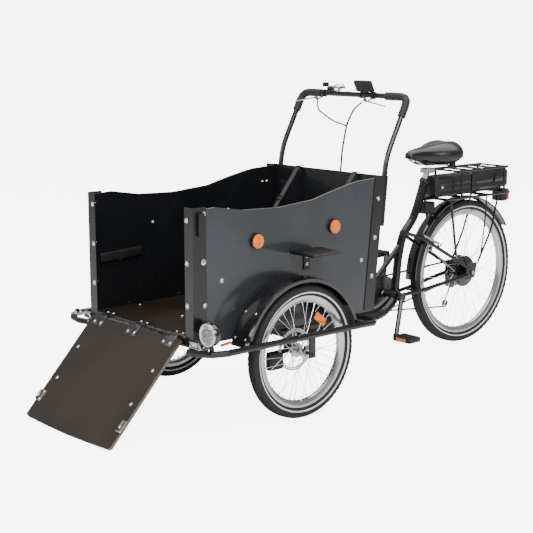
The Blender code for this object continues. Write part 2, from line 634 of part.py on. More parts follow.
# Seat post and saddle slide along the seat tube
POST_TOP = SEAT_TOP + seat_line * 0.052
post = rod(SEAT_TOP - seat_line * 0.085, POST_TOP, 0.0136, 16)
head_block = box((-0.022, 1.092, 0.796), (0.022, 1.145, 0.818), 0.003)
node("seat_post", join(post, head_block), ALLOY, SEAT_TOP)

SADDLE = [(0.985, 0.022, 0.864, 0.893), (1.030, 0.030, 0.848, 0.907), (1.090, 0.050, 0.830, 0.914)]
SADDLE += [(1.150, 0.090, 0.8195, 0.925), (1.205, 0.113, 0.8195, 0.937), (1.245, 0.100, 0.828, 0.937)]
SADDLE += [(1.266, 0.065, 0.845, 0.926)]


def saddle():
    """A loft of rounded sections from the nose to the tail, standing on a rail block."""
    bm = bmesh.new()
    rings = []
    for y, half, low, high in SADDLE:
        ring = []
        for i in range(10):
            angle = math.tau * i / 10
            lift = (high - low) / 2 * math.sin(angle)
            ring.append(bm.verts.new((half * math.cos(angle), y, (high + low) / 2 + lift)))
        rings.append(ring)
    for a, b in zip(rings, rings[1:]):
        for i in range(10):
            bm.faces.new((a[i], a[(i + 1) % 10], b[(i + 1) % 10], b[i]))
    bm.faces.new(rings[0])
    bm.faces.new(rings[-1])
    bmesh.ops.recalc_face_normals(bm, faces=bm.faces)
    return add("saddle_shape", mesh_from(bm))


node("saddle", join(saddle(), box((-0.020, 1.085, 0.8184), (0.020, 1.200, 0.850))), VINYL)

# Rack, its legs and the battery on it
RACK_Z = 0.678
RACK_HALF = 0.078
DECK_Z = 0.798
rails = [tube([(s * RACK_HALF, 1.165, RACK_Z), (s * RACK_HALF, 1.600, RACK_Z)], 0.006, 1) for s in (1, -1)]
bars = [rod((-RACK_HALF, y, RACK_Z), (RACK_HALF, y, RACK_Z), 0.006, 8) for y in (1.170, 1.300, 1.450, 1.595)]
legs = []
for s in (1, -1):
    legs.append(tube([(s * RACK_HALF, 1.190, RACK_Z), (s * 0.074, 1.240, 0.423)], 0.006, 1))
    leg_path = [(s * RACK_HALF, 1.520, RACK_Z), (s * 0.078, 1.478, 0.520), (s * 0.074, 1.392, 0.374)]
    legs.append(tube(leg_path, 0.005, 1, 0.04))
ends = [(s * RACK_HALF, y) for s in (1, -1) for y in (1.262, 1.560)]
posts = [rod((x, y, RACK_Z), (x, y, DECK_Z), 0.0055, 6) for x, y in ends]
rims = [rod((s * RACK_HALF, 1.240, DECK_Z), (s * RACK_HALF, 1.582, DECK_Z), 0.0062, 8) for s in (1, -1)]
SLAT_YS = (1.244, 1.328, 1.411, 1.494, 1.578)
slats = [rod((-RACK_HALF, y, DECK_Z), (RACK_HALF, y, DECK_Z), 0.0045, 6) for y in SLAT_YS]
rack = join(gather(*rails), *bars, gather(*legs))
rack = join(join(gather(*rims), *slats), gather(*posts), rack)
neck = rod((0, 1.0905, 0.680), (0, 1.175, RACK_Z), 0.006, 8)
node("rear_rack", join(rack, neck), FRAME_BLACK)

pack = box((-0.052, 1.124, 0.6885), (0.052, 1.365, 0.778), 0.010)
tail = box((-0.050, 1.360, 0.700), (0.050, 1.630, 0.785), 0.012)
skid = box((-0.030, 1.300, 0.6885), (0.030, 1.600, 0.706), 0.002)
node("battery", join(pack, tail, skid), PLASTIC_BLACK)

light = box((-0.030, 1.606, 0.630), (0.030, 1.650, 0.688), 0.004)
lens = box((-0.026, 1.648, 0.634), (0.026, 1.665, 0.684), 0.004)
node("tail_light", join(light, lens), RED)
node("controller_box", box((-0.026, 1.087, 0.616), (0.026, 1.150, 0.668), 0.006), PLASTIC_BLACK)

GUARD = [(0.347, 0.028), (0.347, -0.028), (0.336, -0.031)]
GUARD += [(0.336, -0.029), (0.3445, -0.0265), (0.3445, 0.0265)]
GUARD += [(0.336, 0.029), (0.336, 0.031)]
guard = turned(GUARD, REAR_AXLE, math.radians(32), math.radians(148), 18)
node("rear_fender", guard, PLASTIC_BLACK)

strap = [(0.0885, 1.425, 0.686), (0.0890, 1.420, 0.600), (0.0890, 1.405, 0.480), (0.0885, 1.390, 0.395)]
node("rack_strap", tube(strap, 0.0035, 2), WEBBING)

# Crank: both arms, the spindle and the chainring turn together; the pedals hang level
arm_turn = Vector((0, math.cos(CRANK_ANGLE), math.sin(CRANK_ANGLE)))
BB = Vector((0, CRANK_Y, CRANK_Z))


def crank_arm(x_root, x_tip, s):
    root = BB + Vector((x_root, 0, 0))
    tip = BB + Vector((x_tip, 0, 0)) + arm_turn * CRANK_LONG * s
    eye = rod(tip - Vector((0.007, 0, 0)), tip + Vector((0.007, 0, 0)), 0.014, 12)
    boss = rod(root - Vector((0.009, 0, 0)), root + Vector((0.009, 0, 0)), 0.018, 14)
    side = 1 if x_tip > 0 else -1
    stub = rod(tip, tip + Vector((side * 0.112, 0, 0)), 0.0050, 10)
    return join(boss, rod(root, tip, 0.0115, 8), eye, stub), tip


left_arm, left_tip = crank_arm(0.054, 0.076, 1)
spindle = rod((-0.0420, CRANK_Y, CRANK_Z), (0.052, CRANK_Y, CRANK_Z), 0.0085, 16)
node("crank_arm_left", join(left_arm, spindle), ALLOY, BB)
right_arm, right_tip = crank_arm(-0.0695, -0.091, -1)
node("crank_arm_right", right_arm, ALLOY, BB)
RING = [(0.0092, -0.0565), (0.0092, -0.0440), (0.016, -0.0440)]
RING += [(0.020, -0.0475), (0.076, -0.0475), (0.076, -0.0505)]
RING += [(0.020, -0.0505), (0.017, -0.0565)]
node("chainring", turned(RING, BB), STEEL, BB)

for tip, s, word in ((left_tip, 1, "left"), (right_tip, -1, "right")):
    middle = tip + Vector((s * 0.061, 0, 0))
    block = box(middle - Vector((0.049, 0.036, 0.011)), middle + Vector((0.049, 0.036, 0.011)), 0.003)
    hole = rod(tip - Vector((0.2, 0, 0)), tip + Vector((0.2, 0, 0)), 0.0058, 10)
    windows = []
    for ahead in (1, -1):
        gap = middle + Vector((0, ahead * 0.0195, 0))
        windows.append(box(gap - Vector((0.036, 0.0095, 0.02)), gap + Vector((0.036, 0.0095, 0.02))))
    node("pedal_" + word, cut(block, hole, gather(*windows)), PLASTIC_BLACK, tip)

# Chain: two straight runs and the wrap round the chainring and the cassette, as one flat loop
FRONT_WRAP = 0.0785
REAR_WRAP = 0.0425


def loop_outline(grow):
    """The chain line round both wheels, grown outwards."""
    span = Vector((REAR_Y - CRANK_Y, REAR_TYRE_R - CRANK_Z))
    tilt = math.atan2(span.y, span.x)
    spread = math.acos((FRONT_WRAP - REAR_WRAP) / span.length)
    points = []
    for i in range(13):
        turn = tilt + spread + (math.tau - 2 * spread) * i / 12
        points.append(polar(CRANK_Y, CRANK_Z, FRONT_WRAP + grow, turn))
    for i in range(9):
        turn = tilt - spread + 2 * spread * i / 8
        points.append(polar(REAR_Y, REAR_TYRE_R, REAR_WRAP + grow, turn))
    return points


belt = plate(loop_outline(0.0045), 0.0050, upright(-0.0490))
hollow = plate(loop_outline(-0.0013), 0.0200, upright(-0.0490))
node("chain", cut(belt, hollow), STEEL)


def brake_arm():
    hub = rod(BOSS + OUT * 0.0125, BOSS + OUT * 0.0265, 0.0105, 12)
    tip = BOSS + ALONG * 0.105 + OUT * 0.0195 - Vector((0.010, 0, 0))
    arm = rod(BOSS + OUT * 0.0195, tip, 0.0058, 8, 0.0042)
    grip_point = BOSS + ALONG * 0.014 + OUT * 0.0195
    post = rod(grip_point, grip_point - Vector((0.036, 0, 0)), 0.0035, 8)
    pad = box((0.0167, -0.0065, -0.024), (0.0262, 0.0065, 0.024))
    facing = Matrix(((1, 0, 0), tuple(ALONG), tuple(OUT))).transposed().to_4x4()
    centre = BOSS + ALONG * 0.009 + OUT * 0.006
    pad.data.transform(Matrix.Translation((0, centre.y, centre.z)) @ facing)
    bore = rod(BOSS - OUT * 0.01, BOSS + OUT * 0.05, 0.0056, 10)
    return join(cut(join(hub, arm), bore), post, pad)


pair_of("rear_brake_arm", brake_arm(), ALLOY, tuple(BOSS + OUT * 0.0195))

# Derailleur: a body on the right dropout and a sprung cage with its two pulleys
CAGE = Vector((-0.056, 1.362, 0.256))
arm_box = box((-0.084, 1.346, 0.268), (-0.0655, 1.384, 0.310), 0.004)
knuckle = rod((-0.082, CAGE.y, CAGE.z), (-0.0579, CAGE.y, CAGE.z), 0.0135, 12)
node("derailleur_body", join(arm_box, knuckle), STEEL)
lower_pulley = Vector((0, CAGE.y - 0.046, CAGE.z - 0.082))
cage_plate = rod((-0.0575, CAGE.y, CAGE.z), (-0.0550, CAGE.y, CAGE.z), 0.012, 12)
spar = tube([(-0.0562, CAGE.y, CAGE.z), (-0.0562, lower_pulley.y, lower_pulley.z)], 0.0055, 1)
discs = [rod((-0.0553, y, z), (-0.0455, y, z), 0.016, 14) for y, z in (CAGE.yz, lower_pulley.yz)]
CAGE_X = -0.0562
flatten = Matrix.Diagonal((0.24, 1, 1, 1))
spar.data.transform(Matrix.Translation((CAGE_X, 0, 0)) @ flatten @ Matrix.Translation((-CAGE_X, 0, 0)))
node("derailleur_cage", join(spar, cage_plate, gather(*discs)), STEEL, CAGE)
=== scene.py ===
"""The cargo tricycle's looks: materials for every CAD piece, fine detail on top, studio, lights and camera."""

import math

import bmesh
import bpy
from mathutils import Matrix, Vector


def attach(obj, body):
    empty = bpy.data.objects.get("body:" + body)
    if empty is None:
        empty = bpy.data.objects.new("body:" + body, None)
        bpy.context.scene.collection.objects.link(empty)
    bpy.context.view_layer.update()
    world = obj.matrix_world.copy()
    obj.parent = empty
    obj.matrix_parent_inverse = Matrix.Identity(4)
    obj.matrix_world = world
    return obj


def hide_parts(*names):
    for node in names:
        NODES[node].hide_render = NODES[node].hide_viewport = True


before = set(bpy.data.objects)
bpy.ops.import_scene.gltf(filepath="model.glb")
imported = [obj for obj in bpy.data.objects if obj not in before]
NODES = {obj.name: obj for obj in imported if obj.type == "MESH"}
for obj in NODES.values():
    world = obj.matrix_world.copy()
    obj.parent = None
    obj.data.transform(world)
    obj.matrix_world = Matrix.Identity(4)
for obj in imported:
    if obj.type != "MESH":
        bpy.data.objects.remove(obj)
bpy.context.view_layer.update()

# Driving places, as in the CAD: y = 0 of the local numbers is the front axle
FRONT_AXLE_Y = -0.4548
WHEEL_X = 0.392
FRONT_R = 0.250
REAR_R = 0.328
BACK_LEAN = math.radians(5.9)


def at(x, y, z):
    """A point given from the front axle, in the frame's own coordinates."""
    return Vector((x, y + FRONT_AXLE_Y, z))


# ---- Materials ----


def new_group(name, inputs, outputs):
    group = bpy.data.node_groups.new(name, "ShaderNodeTree")
    for label, kind in inputs:
        group.interface.new_socket(label, in_out="INPUT", socket_type=kind)
    for label, kind in outputs:
        group.interface.new_socket(label, in_out="OUTPUT", socket_type=kind)
    return group, group.nodes.new("NodeGroupInput"), group.nodes.new("NodeGroupOutput")


COLOR, FLOAT, VECTOR = "NodeSocketColor", "NodeSocketFloat", "NodeSocketVector"


def surface_group():
    """Slow tone changes, fine grain and dust on what faces up, shared by most finishes."""
    inputs = [("Low", COLOR), ("High", COLOR), ("Tone scale", FLOAT)]
    inputs += [("Rough low", FLOAT), ("Rough high", FLOAT)]
    inputs += [("Grain scale", FLOAT), ("Grain depth", FLOAT), ("Dust", FLOAT), ("Stretch", VECTOR)]
    outputs = [("Color", COLOR), ("Roughness", FLOAT), ("Normal", VECTOR)]
    group, given, made = new_group("finish", inputs, outputs)
    nodes, links = group.nodes, group.links
    place = nodes.new("ShaderNodeTexCoord")
    stretch = nodes.new("ShaderNodeVectorMath")
    stretch.operation = "MULTIPLY"
    links.new(place.outputs["Object"], stretch.inputs[0])
    links.new(given.outputs["Stretch"], stretch.inputs[1])
    tone = nodes.new("ShaderNodeTexNoise")
    tone.inputs["Detail"].default_value = 4
    links.new(stretch.outputs[0], tone.inputs["Vector"])
    links.new(given.outputs["Tone scale"], tone.inputs["Scale"])
    spread = nodes.new("ShaderNodeMapRange")
    spread.inputs["From Min"].default_value = 0.32
    spread.inputs["From Max"].default_value = 0.68
    links.new(tone.outputs["Fac"], spread.inputs["Value"])
    mix = nodes.new("ShaderNodeMix")
    mix.data_type = "RGBA"
    links.new(spread.outputs["Result"], mix.inputs["Factor"])
    links.new(given.outputs["Low"], mix.inputs["A"])
    links.new(given.outputs["High"], mix.inputs["B"])
    split = nodes.new("ShaderNodeSeparateXYZ")
    links.new(place.outputs["Normal"], split.inputs[0])
    upward = nodes.new("ShaderNodeMapRange")
    upward.inputs["From Min"].default_value = 0.5
    links.new(split.outputs["Z"], upward.inputs["Value"])
    dusty = nodes.new("ShaderNodeMath")
    dusty.operation = "MULTIPLY"
    links.new(upward.outputs["Result"], dusty.inputs[0])
    links.new(given.outputs["Dust"], dusty.inputs[1])
    dust = nodes.new("ShaderNodeMix")
    dust.data_type = "RGBA"
    dust.inputs["B"].default_value = (0.30, 0.28, 0.25, 1)
    links.new(dusty.outputs[0], dust.inputs["Factor"])
    links.new(mix.outputs["Result"], dust.inputs["A"])
    links.new(dust.outputs["Result"], made.inputs["Color"])
    rough = nodes.new("ShaderNodeMapRange")
    links.new(spread.outputs["Result"], rough.inputs["Value"])
    links.new(given.outputs["Rough low"], rough.inputs["To Min"])
    links.new(given.outputs["Rough high"], rough.inputs["To Max"])
    links.new(rough.outputs["Result"], made.inputs["Roughness"])
    grain = nodes.new("ShaderNodeTexNoise")
    grain.inputs["Detail"].default_value = 2
    links.new(stretch.outputs[0], grain.inputs["Vector"])
    links.new(given.outputs["Grain scale"], grain.inputs["Scale"])
    bump = nodes.new("ShaderNodeBump")
    bump.inputs["Distance"].default_value = 0.001
    links.new(given.outputs["Grain depth"], bump.inputs["Strength"])
    links.new(grain.outputs["Fac"], bump.inputs["Height"])
    links.new(bump.outputs["Normal"], made.inputs["Normal"])
    return group


FINISH = surface_group()


def finish(name, low, high, rough, metallic=0.0, tone=9.0, grain=500.0, depth=0.15, dust=0.0, coat=0.0,
           stretch=(1, 1, 1), specular=0.35, transmission=0.0):
    """A material whose tone, roughness and grain come from the shared group."""
    material = bpy.data.materials.new(name)
    material.use_nodes = True
    tree = material.node_tree
    shader = tree.nodes["Principled BSDF"]
    group = tree.nodes.new("ShaderNodeGroup")
    group.node_tree = FINISH
    values = {"Low": (*low, 1), "High": (*high, 1), "Tone scale": tone}
    values |= {"Rough low": rough[0], "Rough high": rough[1]}
    values |= {"Grain scale": grain, "Grain depth": depth, "Dust": dust, "Stretch": stretch}
    for label, value in values.items():
        group.inputs[label].default_value = value
    tree.links.new(group.outputs["Color"], shader.inputs["Base Color"])
    tree.links.new(group.outputs["Roughness"], shader.inputs["Roughness"])
    tree.links.new(group.outputs["Normal"], shader.inputs["Normal"])
    shader.inputs["Metallic"].default_value = metallic
    shader.inputs["Coat Weight"].default_value = coat
    shader.inputs["Coat Roughness"].default_value = 0.06
    shader.inputs["Specular IOR Level"].default_value = specular
    shader.inputs["Transmission Weight"].default_value = transmission
    return material


POWDER = finish("powder_coat", (0.004, 0.004, 0.005), (0.008, 0.008, 0.009), (0.22, 0.34), grain=900, depth=0.10,
                dust=0.006, coat=0.25)
LACQUER = finish("lacquer", (0.004, 0.004, 0.005), (0.008, 0.008, 0.009), (0.10, 0.18), tone=5, grain=60, depth=0.02,
                 coat=0.8)
MOULDED = finish("moulded_plastic", (0.006, 0.006, 0.007), (0.012, 0.012, 0.013), (0.34, 0.48), grain=1400,
                 depth=0.22, dust=0.006)
TREAD = finish("tyre_rubber", (0.007, 0.007, 0.007), (0.015, 0.015, 0.015), (0.55, 0.75), grain=700, depth=0.30,
               dust=0.01)
GRIP = finish("grip_rubber", (0.010, 0.010, 0.010), (0.018, 0.018, 0.018), (0.45, 0.62), grain=1200, depth=0.35)
POLISHED = finish("polished_alloy", (0.42, 0.42, 0.43), (0.60, 0.60, 0.61), (0.16, 0.28), 1.0, grain=350,
                  depth=0.05)
SPOKE = finish("spoke_steel", (0.62, 0.62, 0.63), (0.82, 0.82, 0.83), (0.14, 0.26), 1.0, grain=500, depth=0.03)
BOLT = finish("bolt_steel", (0.55, 0.55, 0.56), (0.75, 0.75, 0.75), (0.12, 0.25), 1.0, tone=80, grain=600,
              depth=0.05)
BRUSHED = finish("brushed_steel", (0.36, 0.36, 0.37), (0.52, 0.52, 0.53), (0.22, 0.38), 1.0, grain=260, depth=0.12,
                 stretch=(8, 1, 1))
DARK_STEEL = finish("dark_steel", (0.07, 0.07, 0.07), (0.16, 0.15, 0.15), (0.28, 0.45), 1.0, tone=60, grain=400,
                    depth=0.15)
VINYL = finish("vinyl", (0.003, 0.003, 0.0035), (0.006, 0.006, 0.007), (0.24, 0.34), tone=14, grain=420, depth=0.12,
               coat=0.35)
AMBER = finish("amber_lens", (0.70, 0.13, 0.002), (0.85, 0.22, 0.004), (0.10, 0.18), tone=60, grain=380, depth=0.6,
               coat=0.8)
RED = finish("red_lens", (0.45, 0.006, 0.006), (0.62, 0.015, 0.012), (0.10, 0.18), tone=60, grain=380, depth=0.5,
             coat=0.8)
STRIPE = finish("reflective_stripe", (0.55, 0.56, 0.57), (0.75, 0.76, 0.77), (0.30, 0.42), tone=40, grain=900,
                depth=0.2)
GLASS = finish("lamp_glass", (0.86, 0.88, 0.90), (0.95, 0.96, 0.97), (0.02, 0.06), tone=20, grain=90, depth=0.05,
               transmission=0.85)
MIRROR = finish("reflector_bowl", (0.80, 0.80, 0.82), (0.92, 0.92, 0.93), (0.04, 0.10), 1.0, tone=30, grain=120,
                depth=0.05)
SCREEN = finish("display_screen", (0.03, 0.035, 0.035), (0.06, 0.07, 0.065), (0.05, 0.10), tone=12, grain=200,
                depth=0.02, coat=0.9)
BRASS = finish("bell_brass", (0.70, 0.62, 0.48), (0.86, 0.80, 0.68), (0.10, 0.22), 1.0, tone=40, grain=200,
               depth=0.04)
WEBBING = finish("webbing", (0.020, 0.020, 0.021), (0.045, 0.045, 0.047), (0.65, 0.85), tone=700, grain=1800,
                 depth=0.6, stretch=(1, 3, 3))
CABLE = finish("cable_sheath", (0.008, 0.008, 0.008), (0.016, 0.016, 0.016), (0.30, 0.42), tone=50, grain=900,
               depth=0.1)


def board_material(name, low, high, edge_low, edge_high, rough, flat_axis, slot, coat=0.3,
                   inner=1.0):
    """Film-faced ply with veneer edges. The wide face along flat_axis is inner times as pale as the other: painted
    shade on the faces inside the box.
    """
    material = finish(name, low, high, rough, tone=3.0, grain=240, depth=0.05, coat=coat)
    tree = material.node_tree
    nodes, links = tree.nodes, tree.links
    shader = nodes["Principled BSDF"]
    film = shader.inputs["Base Color"].links[0].from_socket
    place = nodes.new("ShaderNodeTexCoord")
    along = nodes.new("ShaderNodeVectorMath")
    along.operation = "DOT_PRODUCT"
    along.inputs[1].default_value = flat_axis
    links.new(place.outputs["Normal"], along.inputs[0])
    size = nodes.new("ShaderNodeMath")
    size.operation = "ABSOLUTE"
    links.new(along.outputs["Value"], size.inputs[0])
    is_edge = nodes.new("ShaderNodeMath")
    is_edge.operation = "LESS_THAN"
    is_edge.inputs[1].default_value = 0.7
    links.new(size.outputs[0], is_edge.inputs[0])
    # Painted shade: the wide face turned along flat_axis has its film colour scaled by inner.
    painted_inner_shade = nodes.new("ShaderNodeMapRange")
    painted_inner_shade.inputs["From Min"].default_value = 0.65
    painted_inner_shade.inputs["From Max"].default_value = 0.75
    painted_inner_shade.inputs["To Min"].default_value = 1.0
    painted_inner_shade.inputs["To Max"].default_value = inner
    links.new(along.outputs["Value"], painted_inner_shade.inputs["Value"])
    shade = nodes.new("ShaderNodeVectorMath")
    shade.operation = "SCALE"
    links.new(film, shade.inputs[0])
    links.new(painted_inner_shade.outputs["Result"], shade.inputs["Scale"])
    film = shade.outputs[0]
    depth = nodes.new("ShaderNodeVectorMath")
    depth.operation = "DOT_PRODUCT"
    depth.inputs[1].default_value = [c * 420 for c in flat_axis]
    links.new(place.outputs["Object"], depth.inputs[0])
    veneer = nodes.new("ShaderNodeMath")
    veneer.operation = "PINGPONG"
    veneer.inputs[1].default_value = 1
    links.new(depth.outputs["Value"], veneer.inputs[0])
    layers = nodes.new("ShaderNodeMix")
    layers.data_type = "RGBA"
    layers.inputs["A"].default_value = (*edge_low, 1)
    layers.inputs["B"].default_value = (*edge_high, 1)
    links.new(veneer.outputs[0], layers.inputs["Factor"])
    final = nodes.new("ShaderNodeMix")
    final.data_type = "RGBA"
    links.new(is_edge.outputs[0], final.inputs["Factor"])
    links.new(film, final.inputs["A"])
    links.new(layers.outputs["Result"], final.inputs["B"])
    links.new(final.outputs["Result"], shader.inputs["Base Color"])
    return material


SLATE = ((0.020, 0.022, 0.027), (0.031, 0.034, 0.040))
PLY_EDGE = ((0.05, 0.045, 0.04), (0.16, 0.14, 0.12))
# The inner faces of the box walls are darkened to 0.22 of the film: painted shade for the inside of the box.
INSIDE_PAINTED_SHADE = {"coat": 0.3, "inner": 0.22}
PANEL = board_material("panel_film", *SLATE, *PLY_EDGE, (0.22, 0.30), (-1, 0, 0), "panel_film", **INSIDE_PAINTED_SHADE)
FAR_PANEL = board_material("far_panel_film", *SLATE, *PLY_EDGE, (0.22, 0.30), (1, 0, 0), "panel_film", **INSIDE_PAINTED_SHADE)
INWARD = (0, -math.cos(BACK_LEAN), math.sin(BACK_LEAN))
WALL = board_material("wall_film", *SLATE, *PLY_EDGE, (0.22, 0.30), INWARD, "panel_film", **INSIDE_PAINTED_SHADE)
BROWN = ((0.011, 0.0070, 0.0042), (0.020, 0.0125, 0.0075))
FLOOR = board_material("floor_film", *BROWN, (0.05, 0.035, 0.025), (0.16, 0.11, 0.075), (0.28, 0.38), (0, 0, 1),
                       "floor_film", 0.2)
RAMP_DROP = math.radians(47)
RAMP_UP = (0, -math.sin(RAMP_DROP), math.cos(RAMP_DROP))
RAMP = board_material("ramp_film", *BROWN, (0.05, 0.035, 0.025), (0.16, 0.11, 0.075), (0.26, 0.36), RAMP_UP,
                      "floor_film", 0.3)


def dress(material, *names):
    """Gives the CAD nodes this material."""
    for name in names:
        node = NODES[name]
        node.data.materials.clear()
        node.data.materials.append(material)


def both(name):
    return (name + "_left", name + "_right")


dress(POWDER, "chassis", "frame", "seat_clamp", "rear_rack", "handlebar")
dress(POWDER, *both("front_post"), *both("rear_post"))
dress(LACQUER, *both("fender"))
dress(MOULDED, "side_step", "shifter_lever", "display", "headlight", "battery")
dress(MOULDED, "controller_box", "rear_fender")
dress(MOULDED, *both("caliper"), *both("pedal"), "tail_light")
dress(PANEL, "side_panel_left")
dress(FAR_PANEL, "side_panel_right")
dress(WALL, "back_panel")
dress(FLOOR, "box_floor")
dress(RAMP, "ramp")
dress(POLISHED, *both("front_wheel"), "rear_wheel", "seat_post")
dress(POLISHED, *both("brake_lever"), *both("rear_brake_arm"))
dress(POWDER, *both("crank_arm"))
dress(BRUSHED, *both("brake_rotor"), "rear_axle")
dress(DARK_STEEL, "cassette", "chainring", "chain", "derailleur_body", "derailleur_cage", "bell_lever")
dress(BRASS, "bell")
dress(TREAD, "rear_tyre", *both("front_tyre"))
dress(GRIP, *both("grip"))
dress(CABLE, "handlebar_cables", "rack_strap")
dress(VINYL, "saddle")
dress(WEBBING, *both("seat_strap"))
dress(AMBER, "reflector_front_left", "reflector_rear_left")


# ---- Modelling helpers: every piece is shaped in edit mode at its place, then rides on its body ----


def begin(name):
    """Opens a new, empty piece in edit mode."""
    bpy.ops.object.select_all(action="DESELECT")
    mesh = bpy.data.meshes.new(name)
    piece = bpy.data.objects.new(name, mesh)
    bpy.context.scene.collection.objects.link(piece)
    bpy.context.view_layer.objects.active = piece
    piece.select_set(True)
    bpy.ops.object.mode_set(mode="EDIT")
    return piece


def end(piece, material, body, bevel=0.0, smooth=40, replaces=(), subdivide=0):
    """Closes the piece: welds it, rounds its edges, shades it and lets it ride."""
    bpy.ops.mesh.select_all(action="SELECT")
    bpy.ops.mesh.remove_doubles(threshold=1e-5)
    bpy.ops.mesh.normals_make_consistent(inside=False)
    bpy.ops.object.mode_set(mode="OBJECT")
    piece.data.materials.append(material)
    if bevel:
        rounding = piece.modifiers.new("round", "BEVEL")
        rounding.width = bevel
        rounding.segments = 2
        rounding.limit_method = "ANGLE"
        bpy.ops.object.modifier_apply(modifier="round")
    if subdivide:
        finer = piece.modifiers.new("finer", "SUBSURF")
        finer.levels = subdivide
        finer.render_levels = subdivide
        bpy.ops.object.modifier_apply(modifier="finer")
    bpy.ops.object.shade_smooth_by_angle(angle=math.radians(smooth))
    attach(piece, body)
    if replaces:
        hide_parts(*replaces)
    return piece


def facing(direction):
    return Vector(direction).to_track_quat("Z", "Y").to_euler()


def rod(start, finish_at, radius, sides=12):
    start, finish_at = Vector(start), Vector(finish_at)
    run = finish_at - start
    bpy.ops.mesh.primitive_cylinder_add(vertices=sides, radius=radius, depth=run.length,
                                        location=(start + finish_at) / 2, rotation=facing(run))


def block(middle, size, turn=(0, 0, 0), round_by=0.0):
    bpy.ops.mesh.primitive_cube_add(size=1, location=middle, rotation=turn, scale=size)
    if round_by:
        bpy.ops.mesh.bevel(offset=round_by, segments=2, affect="EDGES")


def dome(middle, axis, radius, height, sides=14):
    """A domed head whose flat half sinks into what it stands on."""
    bpy.ops.mesh.primitive_uv_sphere_add(segments=sides, ring_count=8, radius=1, location=middle,
                                         rotation=facing(axis), scale=(radius, radius, height))


def bolt(middle, axis, radius=0.0072, height=0.0048):
    """A dome head on its washer."""
    middle, axis = Vector(middle), Vector(axis).normalized()
    rod(middle - axis * 0.0005, middle + axis * 0.0012, radius * 1.25, 16)
    dome(middle + axis * 0.0012, axis, radius, height)


def spun(profile, centre, steps=96, closed=True):
    """A (radius, x) outline spun about the X axis through centre."""
    bpy.ops.mesh.select_all(action="DESELECT")
    bm = bmesh.from_edit_mesh(bpy.context.object.data)
    centre = Vector(centre)
    verts = [bm.verts.new(centre + Vector((x, 0, r))) for r, x in profile]
    pairs = list(zip(verts, verts[1:])) + ([(verts[-1], verts[0])] if closed else [])
    for a, b in pairs:
        bm.edges.new((a, b)).select = True
    bmesh.update_edit_mesh(bpy.context.object.data)
    bpy.ops.mesh.spin(steps=steps, angle=math.tau, center=centre, axis=(1, 0, 0), use_auto_merge=True)


def around(centre, x, radius, angle):
    """The point at this angle from +Y round an X axis through centre, x to its side."""
    return Vector(centre) + Vector((x, radius * math.cos(angle), radius * math.sin(angle)))


def wire(name, points, radius, material, body, smooth=True):
    """A sheathed wire along a smooth curve through the points."""
    curve = bpy.data.curves.new(name, "CURVE")
    curve.dimensions = "3D"
    curve.bevel_depth = radius
    curve.bevel_resolution = 3
    curve.use_fill_caps = True
    curve.resolution_u = 8
    spline = curve.splines.new("NURBS" if smooth else "POLY")
    spline.points.add(len(points) - 1)
    for point, place in zip(spline.points, points):
        point.co = (*place, 1)
    if smooth:
        spline.use_endpoint_u = True
        spline.order_u = 3
    curve.materials.append(material)
    piece = bpy.data.objects.new(name, curve)
    bpy.context.scene.collection.objects.link(piece)
    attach(piece, body)
    return piece


# ---- Wheels ----

TREAD_STEPS = 216


def tyre(name, centre, radius, rim_edge, body):
    """A round casing with rows of tread blocks, and a reflective stripe on each side."""
    half = [(rim_edge, 0.0110), (rim_edge + 0.004, 0.0165)]
    half += [(rim_edge + 0.009, 0.0203), (rim_edge + 0.0155, 0.0228)]
    half += [(radius - 0.018, 0.0236), (radius - 0.0125, 0.0230)]
    half += [(radius - 0.0085, 0.0205), (radius - 0.0060, 0.0165)]
    half += [(radius - 0.0040, 0.0125), (radius - 0.0032, 0.0085)]
    half += [(radius - 0.0030, 0.0040), (radius - 0.0030, 0.0)]
    piece = begin(name)
    spun(half + [(r, -x) for r, x in reversed(half[:-1])], centre, TREAD_STEPS)
    end(piece, TREAD, body, smooth=28, replaces=(name.removesuffix("_cover"),))
    centre = Vector(centre)
    rows = ((0.0095, 0.0, 0.0029), (0.0145, 0.5, 0.0031), (0.0215, 0.0, 0.0028))
    for vertex in piece.data.vertices:
        out = vertex.co - centre
        reach = math.hypot(out.y, out.z)
        step = round(math.atan2(out.z, out.y) / math.tau * TREAD_STEPS)
        for widest, phase, lift in rows:
            if reach > radius - 0.013 and abs(out.x) < widest:
                if (step + int(phase * 3) + (out.x > 0)) % 3 != 0:
                    vertex.co += Vector((0, out.y, out.z)).normalized() * lift
                break
    stripe = begin(name + "_stripe")
    for side in (1, -1):
        inner, outer = rim_edge + 0.0095, rim_edge + 0.0150
        outline = [(inner, 0.0212), (outer, 0.0232), (outer, 0.0222), (inner, 0.0202)]
        spun([(r, side * x) for r, x in outline], centre, 96)
    end(stripe, STRIPE, body)
    return piece


def spoked(name, centre, rim_edge, rim_inner, flange_r, flange_x, cross, hub, body):
    """Rim with its brake track, thirty-six crossed spokes with nipples, and a turned hub."""
    piece = begin(name)
    half = [(rim_edge + 0.0004, 0.0122), (rim_edge - 0.0006, 0.0140), (rim_edge - 0.0125, 0.0136)]
    half += [(rim_edge - 0.0140, 0.0128), (rim_inner + 0.0035, 0.0085), (rim_inner + 0.0003, 0.0030)]
    spun(half + [(r, -x) for r, x in reversed(half)], centre, 96)
    end(piece, POLISHED, body, smooth=30, replaces=(name.removesuffix("_rim"),))
    spokes = begin(name + "_spokes")
    for i in range(36):
        side = 1 if i % 2 else -1
        lead = 1 if (i // 2) % 2 else -1
        turn = math.tau * i / 36
        start = around(centre, side * (flange_x + 0.0015 * lead), flange_r, turn + lead * cross)
        tip = around(centre, side * 0.0030, rim_inner + 0.002, turn)
        rod(start, tip, 0.00105, 6)
        rod(tip + (start - tip).normalized() * 0.012, tip, 0.0021, 6)
    end(spokes, SPOKE, body)
    core = begin(name + "_hub")
    spun(hub, centre, 48)
    end(core, POLISHED if flange_r < 0.05 else LACQUER, body, smooth=30)


